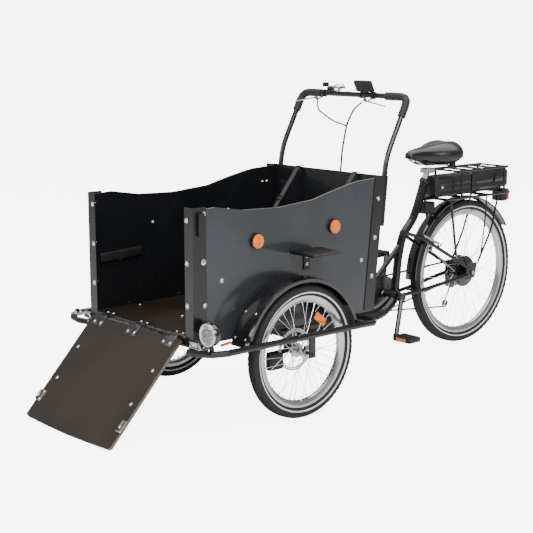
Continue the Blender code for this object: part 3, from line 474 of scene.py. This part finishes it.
def rotor(name, centre, body):
    """A disc with a slotted brake track on six raked arms."""
    piece = begin(name)
    for outer, inner in ((0.0795, 0.0735), (0.0715, 0.0665), (0.0250, 0.0180)):
        spun([(outer, 0.0009), (outer, -0.0009), (inner, -0.0009), (inner, 0.0009)], centre, 72)
    for i in range(36):
        turn = math.tau * i / 36
        middle = around(centre, 0, 0.0725, turn + 0.02)
        block(middle, (0.0018, 0.0040, 0.0030), (turn, 0, 0))
    for i in range(6):
        turn = math.tau * i / 6
        rod(around(centre, 0, 0.0225, turn), around(centre, 0, 0.0680, turn + 0.42), 0.0028, 4)
        bolt(around(centre, 0.001 if centre[0] < 0 else -0.001, 0.0215, turn), (-centre[0], 0, 0), 0.0026, 0.0016)
    return end(piece, BRUSHED, body, replaces=(name.removesuffix("_disc"),))


FRONT_RIM, REAR_RIM = 0.210, 0.286
HUB = [(0.0062, -0.0355), (0.0130, -0.0355), (0.0150, -0.0290)]
HUB += [(0.0270, -0.0260), (0.0272, -0.0235), (0.0150, -0.0200)]
HUB += [(0.0110, -0.0120), (0.0110, 0.0120), (0.0150, 0.0200)]
HUB += [(0.0272, 0.0235), (0.0270, 0.0260), (0.0150, 0.0290)]
HUB += [(0.0130, 0.0355), (0.0062, 0.0355)]
MOTOR = [(0.0086, -0.0295), (0.0300, -0.0290), (0.0620, -0.0262), (0.0640, -0.0215), (0.0705, -0.0205)]
MOTOR += [(0.0715, -0.0175), (0.0660, -0.0150), (0.0660, 0.0150), (0.0715, 0.0175), (0.0705, 0.0205)]
MOTOR += [(0.0640, 0.0215), (0.0610, 0.0285), (0.0400, 0.0310), (0.0240, 0.0370), (0.0086, 0.0395)]
for side, word in ((1, "left"), (-1, "right")):
    hub_at = at(side * WHEEL_X, 0, FRONT_R)
    wheel_body = "front_wheel_" + word
    tyre(f"front_tyre_{word}_cover", hub_at, FRONT_R, FRONT_RIM, wheel_body)
    spoked(f"front_wheel_{word}_rim", hub_at, FRONT_RIM, 0.183, 0.0245, 0.0248, 1.15, HUB, wheel_body)
    rotor(f"brake_rotor_{word}_disc", at(side * 0.3535, 0, FRONT_R), wheel_body)
    flag = begin(f"spoke_reflector_{word}")
    turn = math.radians(52)
    block(around(hub_at, side * 0.008, 0.140, turn), (0.006, 0.062, 0.030), (turn + math.pi / 2, 0, 0), 0.003)
    end(flag, AMBER, wheel_body)
REAR_HUB = at(0, 1.364, REAR_R)
tyre("rear_tyre_cover", REAR_HUB, REAR_R, REAR_RIM, "rear_wheel")
spoked("rear_wheel_rim", REAR_HUB, REAR_RIM, 0.2595, 0.0690, 0.0185, 0.42, MOTOR, "rear_wheel")


# ---- Smooth guards ----


def guard(name, outline, centre, first, sweep, material, body, steps=72):
    """A closed outline swept part of the way round an X axis, with its two ends filled."""
    piece = begin(name)
    bm = bmesh.from_edit_mesh(piece.data)
    verts = [bm.verts.new(around(centre, x, r, first)) for r, x in outline]
    for a, b in zip(verts, verts[1:] + verts[:1]):
        bm.edges.new((a, b)).select = True
    bmesh.update_edit_mesh(piece.data)
    bpy.ops.mesh.spin(steps=steps, angle=-sweep, center=centre, axis=(1, 0, 0))
    bpy.ops.mesh.select_all(action="SELECT")
    bpy.ops.mesh.fill_holes(sides=0)
    return end(piece, material, body, smooth=30, replaces=(name.removesuffix("_skin"),))


def crown(half_width, top, sag, skin, lip):
    """A guard's section: a gently crowned skin whose two edges turn down."""
    outer = [(top - sag * t * t, half_width * t) for t in (i / 5 for i in range(-5, 6))]
    inner = [(r - skin, x * (1 - skin / half_width)) for r, x in reversed(outer)]
    right = [(top - sag - lip, half_width), (top - sag - lip, half_width - skin)]
    left = [(top - sag - lip, skin - half_width), (top - sag - lip, -half_width)]
    return outer + right + inner + left


FENDER_X = 0.378
for side, word in ((1, "left"), (-1, "right")):
    middle = at(side * FENDER_X, -0.012, 0.242)
    section = crown(0.0475, 0.289, 0.006, 0.0022, 0.012)
    guard(f"fender_{word}_skin", section, middle, math.radians(12), math.radians(154), LACQUER, "front_module")
    rivets = begin(f"fender_rivets_{word}")
    for degrees in (18, 40, 140, 160):
        for across in (-0.030, 0.026):
            spot = around(middle, side * across, 0.2868, math.radians(degrees))
            bolt(spot, spot - middle - Vector((side * across, 0, 0)), 0.0042, 0.0026)
    end(rivets, BOLT, "front_module")
rear_section = crown(0.0285, 0.347, 0.004, 0.0018, 0.007)
guard("rear_fender_skin", rear_section, REAR_HUB, math.radians(32), math.radians(148), LACQUER, "rear_frame", 84)


# ---- Box: bolts, nuts, reflectors, rail and step ----


def back_at(x, z, depth):
    """A point behind the leaning rear wall's outer plane by depth."""
    run = (z - 0.33) * math.tan(BACK_LEAN)
    return at(x, 0.452 + run + depth / math.cos(BACK_LEAN), z)


BACKWARD = Vector((0, math.cos(BACK_LEAN), -math.sin(BACK_LEAN)))
for side, word in ((1, "left"), (-1, "right")):
    outward = (side, 0, 0)
    fixings = begin(f"box_bolts_{word}")
    for z in (0.768, 0.617, 0.466):
        bolt(at(side * 0.287, -0.4463, z), (0, -1, 0), 0.0078, 0.0058)
        bolt(back_at(side * 0.3193, z, -0.025), outward, 0.0074, 0.0056)
        bolt(back_at(side * 0.272, z, 0.0033), BACKWARD, 0.0070, 0.0050)
    for z in (0.790, 0.466):
        bolt(at(side * 0.3193, -0.395, z), outward, 0.0066, 0.0050)
    for y, z in ((-0.315, 0.544), (0.386, 0.535)):
        bolt(at(side * 0.316, y, z), outward, 0.0068, 0.0046)
        bolt(at(side * 0.306, y, z), (-side, 0, 0), 0.0062, 0.0050)
    for y, z in ((-0.154, 0.669), (0.232, 0.684), (0.446, 0.785), (0.420, 0.785)):
        bolt(at(side * 0.306, y, z), (-side, 0, 0), 0.0060, 0.0050)
    for z in (0.768, 0.617, 0.466):
        bolt(at(side * 0.306, -0.425, z), (-side, 0, 0), 0.0055, 0.0044)
    end(fixings, BOLT, "front_module")
    knob = begin(f"post_knob_{word}")
    rod(at(side * 0.3190, -0.402, 0.622), at(side * 0.3250, -0.402, 0.622), 0.0125, 6)
    rod(at(side * 0.3240, -0.402, 0.622), at(side * 0.3300, -0.402, 0.622), 0.0065, 12)
    end(knob, BOLT, "front_module", bevel=0.0012)
    rail = begin(f"inner_rail_{word}")
    block(at(side * 0.2995, -0.312, 0.560), (0.0120, 0.196, 0.034), (math.radians(3), 0, 0), 0.003)
    end(rail, MOULDED, "front_module")
    for y, z, place in ((-0.154, 0.669, "front"), (0.232, 0.684, "rear")):
        housing = begin(f"reflector_rim_{place}_{word}")
        rod(at(side * 0.3164, y, z), at(side * 0.3275, y, z), 0.0288, 40)
        stands_for = (f"reflector_{place}_left",) if side > 0 else ()
        end(housing, LACQUER, "front_module", bevel=0.0012, replaces=stands_for)
        lens = begin(f"reflector_lens_{place}_{word}")
        rod(at(side * 0.3255, y, z), at(side * 0.3298, y, z), 0.0252, 40)
        for i in range(9):
            across = (i - 4) * 0.0055
            reach = math.sqrt(0.0235**2 - across**2)
            rod(at(side * 0.3298, y + across, z - reach), at(side * 0.3298, y + across, z + reach), 0.0011, 6)
        end(lens, AMBER, "front_module", smooth=30)

# The step's tread: raised bars and two fixing bolts
treads = begin("step_treads")
for i in range(7):
    block(at(0.394, -0.002 + 0.022 * i + 0.001, 0.6176), (0.104, 0.006, 0.0030), (0, 0, 0), 0.0008)
end(treads, MOULDED, "front_module")
step_bolts = begin("step_bolts")
for y, z in ((0.092, 0.556), (0.092, 0.586)):
    bolt(at(0.3205, y, z), (1, 0, 0), 0.0052, 0.0036)
end(step_bolts, BOLT, "front_module")

# ---- Floor edge, hinges and ramp ----

HINGE = at(0, -0.456, 0.350)


def on_ramp(x, along, above):
    """A point of the let-down ramp: along from its hinge, above its middle plane."""
    down = Vector((0, -math.cos(RAMP_DROP), -math.sin(RAMP_DROP)))
    return HINGE + Vector((x, 0, 0)) + down * along + Vector(RAMP_UP) * above


floor_fixings = begin("floor_fixings")
for x in (-0.215, 0.0, 0.215):
    for step in (-0.018, 0.018):
        bolt(at(x + step, -0.425, 0.3566), (0, 0, 1), 0.0050, 0.0028)
for x in (-0.27, 0.0, 0.27):
    for y in (-0.25, 0.0, 0.25):
        bolt(at(x, y, 0.355), (0, 0, 1), 0.0062, 0.0026)
end(floor_fixings, BOLT, "front_module")
plates = begin("floor_hinge_leaves")
for x in (-0.215, 0.0, 0.215):
    block(at(x, -0.4270, 0.3560), (0.062, 0.033, 0.0022), (0, 0, 0), 0.0006)
end(plates, DARK_STEEL, "front_module")
nosing = begin("floor_nosing")
block(at(0, -0.4445, 0.3465), (0.606, 0.0030, 0.0200), (0, 0, 0), 0.0008)
end(nosing, DARK_STEEL, "front_module")
tilt = (RAMP_DROP, 0, 0)
leaves = begin("ramp_hinge_leaves")
for x in (-0.215, 0.0, 0.215):
    block(on_ramp(x, 0.0245, 0.0072), (0.064, 0.046, 0.0022), tilt, 0.0006)
    rod(on_ramp(x - 0.033, 0, 0.001), on_ramp(x + 0.033, 0, 0.001), 0.0058, 16)
end(leaves, DARK_STEEL, "ramp")
ramp_fixings = begin("ramp_fixings")
for x in (-0.215, 0.0, 0.215):
    for step in (-0.020, 0.020):
        bolt(on_ramp(x + step, 0.034, 0.0082), RAMP_UP, 0.0052, 0.0030)
for x, along in ((-0.235, 0.150), (0.235, 0.150), (-0.235, 0.290), (0.235, 0.290)):
    bolt(on_ramp(x, along, 0.0060), RAMP_UP, 0.0058, 0.0030)
for side in (1, -1):
    block(on_ramp(side * 0.258, 0.375, 0.0072), (0.028, 0.046, 0.0022), tilt, 0.0006)
    block(on_ramp(side * 0.262, 0.371, 0.0130), (0.010, 0.030, 0.0080), tilt, 0.0025)
    for step in (-0.016, 0.016):
        bolt(on_ramp(side * 0.252, 0.375 + step, 0.0082), RAMP_UP, 0.0042, 0.0026)
end(ramp_fixings, BOLT, "ramp")

# ---- Lamp, horn and the bumper's brackets ----

LAMP = at(0.418, -0.445, 0.388)
shell = begin("headlight_shell")
bpy.ops.mesh.primitive_uv_sphere_add(segments=40, ring_count=24, radius=1, location=LAMP + Vector((0, -0.001, 0)),
                                     scale=(0.0405, 0.0285, 0.0405))
rod(LAMP + Vector((0, 0, -0.0430)), LAMP + Vector((0, 0, -0.030)), 0.0075, 16)
end(shell, LACQUER, "headlight", replaces=("headlight",))
bezel = begin("headlight_bezel")
bpy.ops.mesh.primitive_torus_add(major_radius=0.0390, minor_radius=0.0032, major_segments=48, minor_segments=12,
                                 location=LAMP + Vector((0, -0.0185, 0)), rotation=(math.pi / 2, 0, 0))
end(bezel, POLISHED, "headlight")
bowl = begin("headlight_bowl")
rod(LAMP + Vector((0, -0.0230, 0)), LAMP + Vector((0, -0.0150, 0)), 0.0375, 40)
for i in range(12):
    turn = math.tau * i / 12
    spoke_end = Vector((math.cos(turn) * 0.034, -0.0232, math.sin(turn) * 0.034))
    rod(LAMP + Vector((0, -0.0232, 0)), LAMP + spoke_end, 0.0012, 6)
end(bowl, MIRROR, "headlight")
glass = begin("headlight_glass")
bpy.ops.mesh.primitive_uv_sphere_add(segments=40, ring_count=16, radius=1, location=LAMP + Vector((0, -0.0205, 0)),
                                     scale=(0.0372, 0.0088, 0.0372))
end(glass, GLASS, "headlight")
brackets = begin("bumper_brackets")
for side in (1, -1):
    block(at(side * 0.372, -0.462, 0.3350), (0.056, 0.040, 0.0030), (0, 0, 0), 0.001)
    block(at(side * 0.330, -0.452, 0.3350), (0.040, 0.012, 0.0240), (0, 0, 0), 0.001)
    for x, y in ((0.358, -0.452), (0.388, -0.470), (0.384, -0.450)):
        bolt(at(side * x, y, 0.3365), (0, 0, 1), 0.0050, 0.0034)
end(brackets, BOLT, "front_module")
horn = begin("side_horn")
bpy.ops.mesh.primitive_uv_sphere_add(segments=32, ring_count=18, radius=1, location=at(0.3500, -0.408, 0.392),
                                     scale=(0.0240, 0.0270, 0.0270))
rod(at(0.3200, -0.408, 0.392), at(0.3400, -0.408, 0.392), 0.0100, 16)
end(horn, LACQUER, "front_module")
tag = begin("lamp_tag")
block(at(0.440, -0.400, 0.352), (0.010, 0.040, 0.008), (0.2, 0, -0.3), 0.001)
end(tag, RED, "front_module")


# ---- Saddle, straps and the driving parts ----

# Across the saddle, nose to tail: y, half width, underside and top
SADDLE = ((0.982, 0.014, 0.868, 0.888), (1.000, 0.026, 0.857, 0.900), (1.030, 0.031, 0.849, 0.907))
SADDLE += ((1.070, 0.040, 0.838, 0.912), (1.105, 0.056, 0.828, 0.917), (1.140, 0.082, 0.821, 0.925))
SADDLE += ((1.175, 0.104, 0.818, 0.933), (1.210, 0.115, 0.818, 0.938), (1.240, 0.106, 0.824, 0.938))
SADDLE += ((1.260, 0.080, 0.838, 0.931), (1.270, 0.046, 0.856, 0.916))

cushion = begin("saddle_cushion")
for y, half, low, high in SADDLE:
    bpy.ops.mesh.select_all(action="DESELECT")
    bpy.ops.mesh.primitive_circle_add(vertices=32, radius=1, location=at(0, y, (low + high) / 2),
                                      rotation=(math.pi / 2, 0, 0))
    bpy.ops.transform.resize(value=(half, 1, (high - low) / 2), center_override=at(0, y, (low + high) / 2))
bpy.ops.mesh.select_all(action="SELECT")
bpy.ops.mesh.bridge_edge_loops()
bpy.ops.mesh.select_all(action="SELECT")
bpy.ops.mesh.fill_holes(sides=0)
shape = bmesh.from_edit_mesh(cushion.data)
for vertex in shape.verts:
    y = vertex.co.y - FRONT_AXLE_Y
    rear = min(max((y - 1.08) / 0.12, 0), 1)
    middle = 0.876
    if vertex.co.z < middle:
        vertex.co.z = middle + (vertex.co.z - middle) * 0.86
    else:
        vertex.co.z -= 0.010 * rear * math.exp(-((vertex.co.x / 0.026) ** 2))
bmesh.update_edit_mesh(cushion.data)
end(cushion, VINYL, "seat", smooth=180, subdivide=2, replaces=("saddle",))
piping = [(half * 0.985, y) for y, half, low, high in SADDLE]
loop = [at(x, y, 0.868) for x, y in piping] + [at(-x, y, 0.868) for x, y in reversed(piping)]
wire("saddle_piping", loop + loop[:1], 0.0020, GRIP, "seat")
under = begin("saddle_pan")
for side in (1, -1):
    rod(at(side * 0.060, 1.215, 0.822), at(side * 0.060, 1.215, 0.850), 0.0145, 20)
    rod(at(side * 0.060, 1.215, 0.8195), at(side * 0.060, 1.215, 0.8240), 0.0175, 20)
block(at(0, 1.145, 0.842), (0.078, 0.150, 0.018), (0, 0, 0), 0.006)
end(under, MOULDED, "seat", bevel=0.001)
for side, word in ((1, "left"), (-1, "right")):
    line = [at(side * 0.018, 1.020, 0.856), at(side * 0.021, 1.060, 0.838), at(side * 0.022, 1.090, 0.832)]
    line += [at(side * 0.022, 1.170, 0.832), at(side * 0.050, 1.215, 0.826)]
    wire(f"saddle_rail_{word}", line, 0.0036, SPOKE, "seat")

STRAP_TOP, STRAP_FOOT = (0.4865, 0.858), (0.080, 0.3574)
for x, word in ((0.174, "left"), (-0.153, "right")):
    start, foot = at(x, *STRAP_TOP), at(x, *STRAP_FOOT)
    run = foot - start
    strap = begin(f"seat_strap_{word}_web")
    lean = (math.atan2(run.z, run.y), 0, 0)
    block((start + foot) / 2 + Vector((0, 0.0010, 0.0006)), (0.022, run.length, 0.0016), lean, 0.0004)
    bpy.ops.mesh.select_all(action="SELECT")
    bpy.ops.mesh.subdivide(number_cuts=3)
    end(strap, WEBBING, "front_module", smooth=50)
    buckle = begin(f"strap_buckle_{word}")
    for t in (0.235, 0.262):
        block(start + run * t + Vector((0, -0.001, 0.001)), (0.030, 0.007, 0.005), lean, 0.0015)
    for across in (-0.0135, 0.0135):
        block(start + run * 0.2485 + Vector((across, -0.001, 0.001)), (0.004, 0.024, 0.005), lean, 0.0015)
    end(buckle, MOULDED, "front_module")

# Pedals: reflectors front and back
for middle, word in ((at(0.137, 0.8535, 0.114), "left"), (at(-0.152, 0.9625, 0.436), "right")):
    lights = begin(f"pedal_reflectors_{word}")
    for step in (-0.0366, 0.0366):
        block(middle + Vector((0, step, 0)), (0.052, 0.0030, 0.0130), (0, 0, 0), 0.0008)
    end(lights, AMBER, f"pedal_{word}")
    grips = begin(f"pedal_grip_{word}")
    for i in range(9):
        for face in (-0.0112, 0.0112):
            block(middle + Vector((0.0105 * (i - 4), 0, face)), (0.003, 0.066, 0.0018), (0, 0, 0), 0.0004)
    end(grips, GRIP, f"pedal_{word}")

# Battery: ribs, seams, a lock and its carrying grip
trim = begin("battery_trim")
for side in (1, -1):
    for z in (0.722, 0.745):
        block(at(side * 0.0518, 1.245, z), (0.0030, 0.215, 0.0050), (0, 0, 0), 0.001)
    block(at(side * 0.0500, 1.500, 0.742), (0.0030, 0.215, 0.0200), (0, 0, 0), 0.001)
block(at(0, 1.628, 0.742), (0.070, 0.008, 0.040), (0, 0, 0), 0.003)
block(at(0, 1.365, 0.742), (0.1060, 0.003, 0.078), (0, 0, 0), 0.001)
end(trim, LACQUER, "battery")
lock = begin("battery_lock")
rod(at(0.0510, 1.160, 0.733), at(0.0545, 1.160, 0.733), 0.0075, 24)
end(lock, BOLT, "battery", bevel=0.0006)
lens = begin("tail_lens")
block(at(0, 1.6585, 0.659), (0.0545, 0.0160, 0.0520), (0, 0, 0), 0.003)
for i in range(6):
    block(at(0, 1.6672, 0.639 + 0.008 * i), (0.046, 0.0020, 0.0030), (0, 0, 0), 0.0006)
end(lens, RED, "rear_frame")

# Chain links over the chain's own line, the chainring's teeth and the cassette's sprockets
teeth = begin("chainring_teeth")
CRANK_HUB = at(-0.049, 0.908, 0.275)
for i in range(38):
    angle = math.tau * i / 38
    block(around(CRANK_HUB, 0, 0.0772, angle), (0.0018, 0.0050, 0.0042), (angle, 0, 0), 0.0007)
for i in range(5):
    angle = math.tau * (i + 0.3) / 5
    bolt(around(CRANK_HUB, -0.0015, 0.030, angle), (-1, 0, 0), 0.0045, 0.0025)
end(teeth, DARK_STEEL, "crank")
sprockets = begin("sprocket_rows")
for x, radius in ((-0.0345, 0.0405), (-0.0385, 0.0380), (-0.0425, 0.0345), (-0.0465, 0.0312), (-0.0505, 0.0275)):
    rod(REAR_HUB + Vector((x - 0.0008, 0, 0)), REAR_HUB + Vector((x + 0.0008, 0, 0)), radius, 36)
    for i in range(18):
        angle = math.tau * i / 18
        block(around(REAR_HUB, x, radius, angle), (0.0016, 0.0034, 0.0040), (angle, 0, 0))
end(sprockets, BRUSHED, "rear_wheel", replaces=("cassette",))
links = begin("chain_links")
for start, finish_y, finish_z in (((0.912, 0.3535), 1.360, 0.3705), ((0.914, 0.1966), 1.318, 0.1585)):
    first, last = at(-0.049, *start), at(-0.049, finish_y, finish_z)
    span = last - first
    count = int(span.length / 0.0127)
    for i in range(count):
        spot = first + span * ((i + 0.5) / count)
        wide = 0.0066 if i % 2 else 0.0050
        block(spot, (wide, 0.0118, 0.0072), (math.atan2(span.z, span.y), 0, 0), 0.0008)
end(links, DARK_STEEL, "rear_frame")

# Handlebar: the screen, the bell's ring and clamps at the levers
plane = max(NODES["display"].data.polygons, key=lambda face: face.area * (face.normal.y > 0.3))
same = [face for face in NODES["display"].data.polygons if face.normal.dot(plane.normal) > 0.995]
same = [face for face in same if abs((face.center - plane.center).dot(plane.normal)) < 0.0005]
total = sum(face.area for face in same)
centre = sum((face.center * face.area for face in same), Vector()) / total
centre = NODES["display"].matrix_world @ centre
screen = begin("display_glass")
block(centre, (0.080, 0.036, 0.0024), facing(plane.normal), 0.0008)
end(screen, SCREEN, "front_module")
clamps = begin("lever_clamps")
for x in (0.112, -0.172):
    rod(at(x - 0.006, 0.653, 1.153), at(x + 0.006, 0.653, 1.153), 0.0152, 24)
    bolt(at(x, 0.639, 1.153), (0, -1, 0), 0.0036, 0.0026)
for x in (0.047, 0.113):
    rod(at(x - 0.003, 0.653, 1.153), at(x + 0.003, 0.653, 1.153), 0.0148, 24)
end(clamps, POWDER, "front_module", bevel=0.0008)


# ---- Studio ----

AMBIENT = 0.50
BACKDROP = 6.6
FLOOR_GLOW = 6.0


def studio():
    floor_material = finish("studio_floor", (0.86, 0.86, 0.86), (0.90, 0.90, 0.90), (0.55, 0.70), tone=2, grain=40,
                            depth=0.01)
    tree = floor_material.node_tree
    seen_floor = tree.nodes.new("ShaderNodeLightPath")
    glow = tree.nodes.new("ShaderNodeMath")
    glow.operation = "MULTIPLY"
    glow.inputs[1].default_value = FLOOR_GLOW
    shader = tree.nodes["Principled BSDF"]
    shader.inputs["Emission Color"].default_value = (1.0, 1.0, 1.0, 1)
    tree.links.new(seen_floor.outputs["Is Camera Ray"], glow.inputs[0])
    tree.links.new(glow.outputs[0], shader.inputs["Emission Strength"])
    bpy.ops.mesh.primitive_plane_add(size=60, location=(0, 0, 0))
    floor = bpy.context.object
    floor.name = "studio_floor"
    floor.data.materials.append(floor_material)
    world = bpy.data.worlds.new("studio")
    bpy.context.scene.world = world
    world.use_nodes = True
    nodes, links = world.node_tree.nodes, world.node_tree.links
    nodes["Background"].inputs["Color"].default_value = (1.0, 1.0, 1.0, 1)
    seen = nodes.new("ShaderNodeLightPath")
    level = nodes.new("ShaderNodeMapRange")
    level.inputs["To Min"].default_value = AMBIENT
    level.inputs["To Max"].default_value = BACKDROP
    links.new(seen.outputs["Is Camera Ray"], level.inputs["Value"])
    links.new(level.outputs["Result"], nodes["Background"].inputs["Strength"])
    lights = [("key", (4.6, -2.2, 3.4), 2.4, 240), ("fill", (-1.5, -5.2, 2.6), 2.6, 110)]
    lights += [("top", (0, 0.4, 5), 6.0, 420)]
    for name, place, size, power in lights:
        light = bpy.data.lights.new(name, "AREA")
        light.size = size
        light.energy = power
        lamp = bpy.data.objects.new(name, light)
        lamp.location = place
        aim = Vector((0, 0, 0.5)) - Vector(place)
        lamp.rotation_euler = aim.to_track_quat("-Z", "Y").to_euler()
        bpy.context.scene.collection.objects.link(lamp)


def camera():
    lens = bpy.data.cameras.new("camera")
    lens.lens = 86.42
    lens.sensor_width = 36.0
    lens.clip_end = 200
    eye = bpy.data.objects.new("camera", lens)
    eye.location = at(3.740, -3.1245, 1.409)
    eye.rotation_euler = (math.radians(90 - 10.418), math.radians(0.058), math.radians(48.576))
    bpy.context.scene.collection.objects.link(eye)
    bpy.context.scene.camera = eye


studio()
camera()
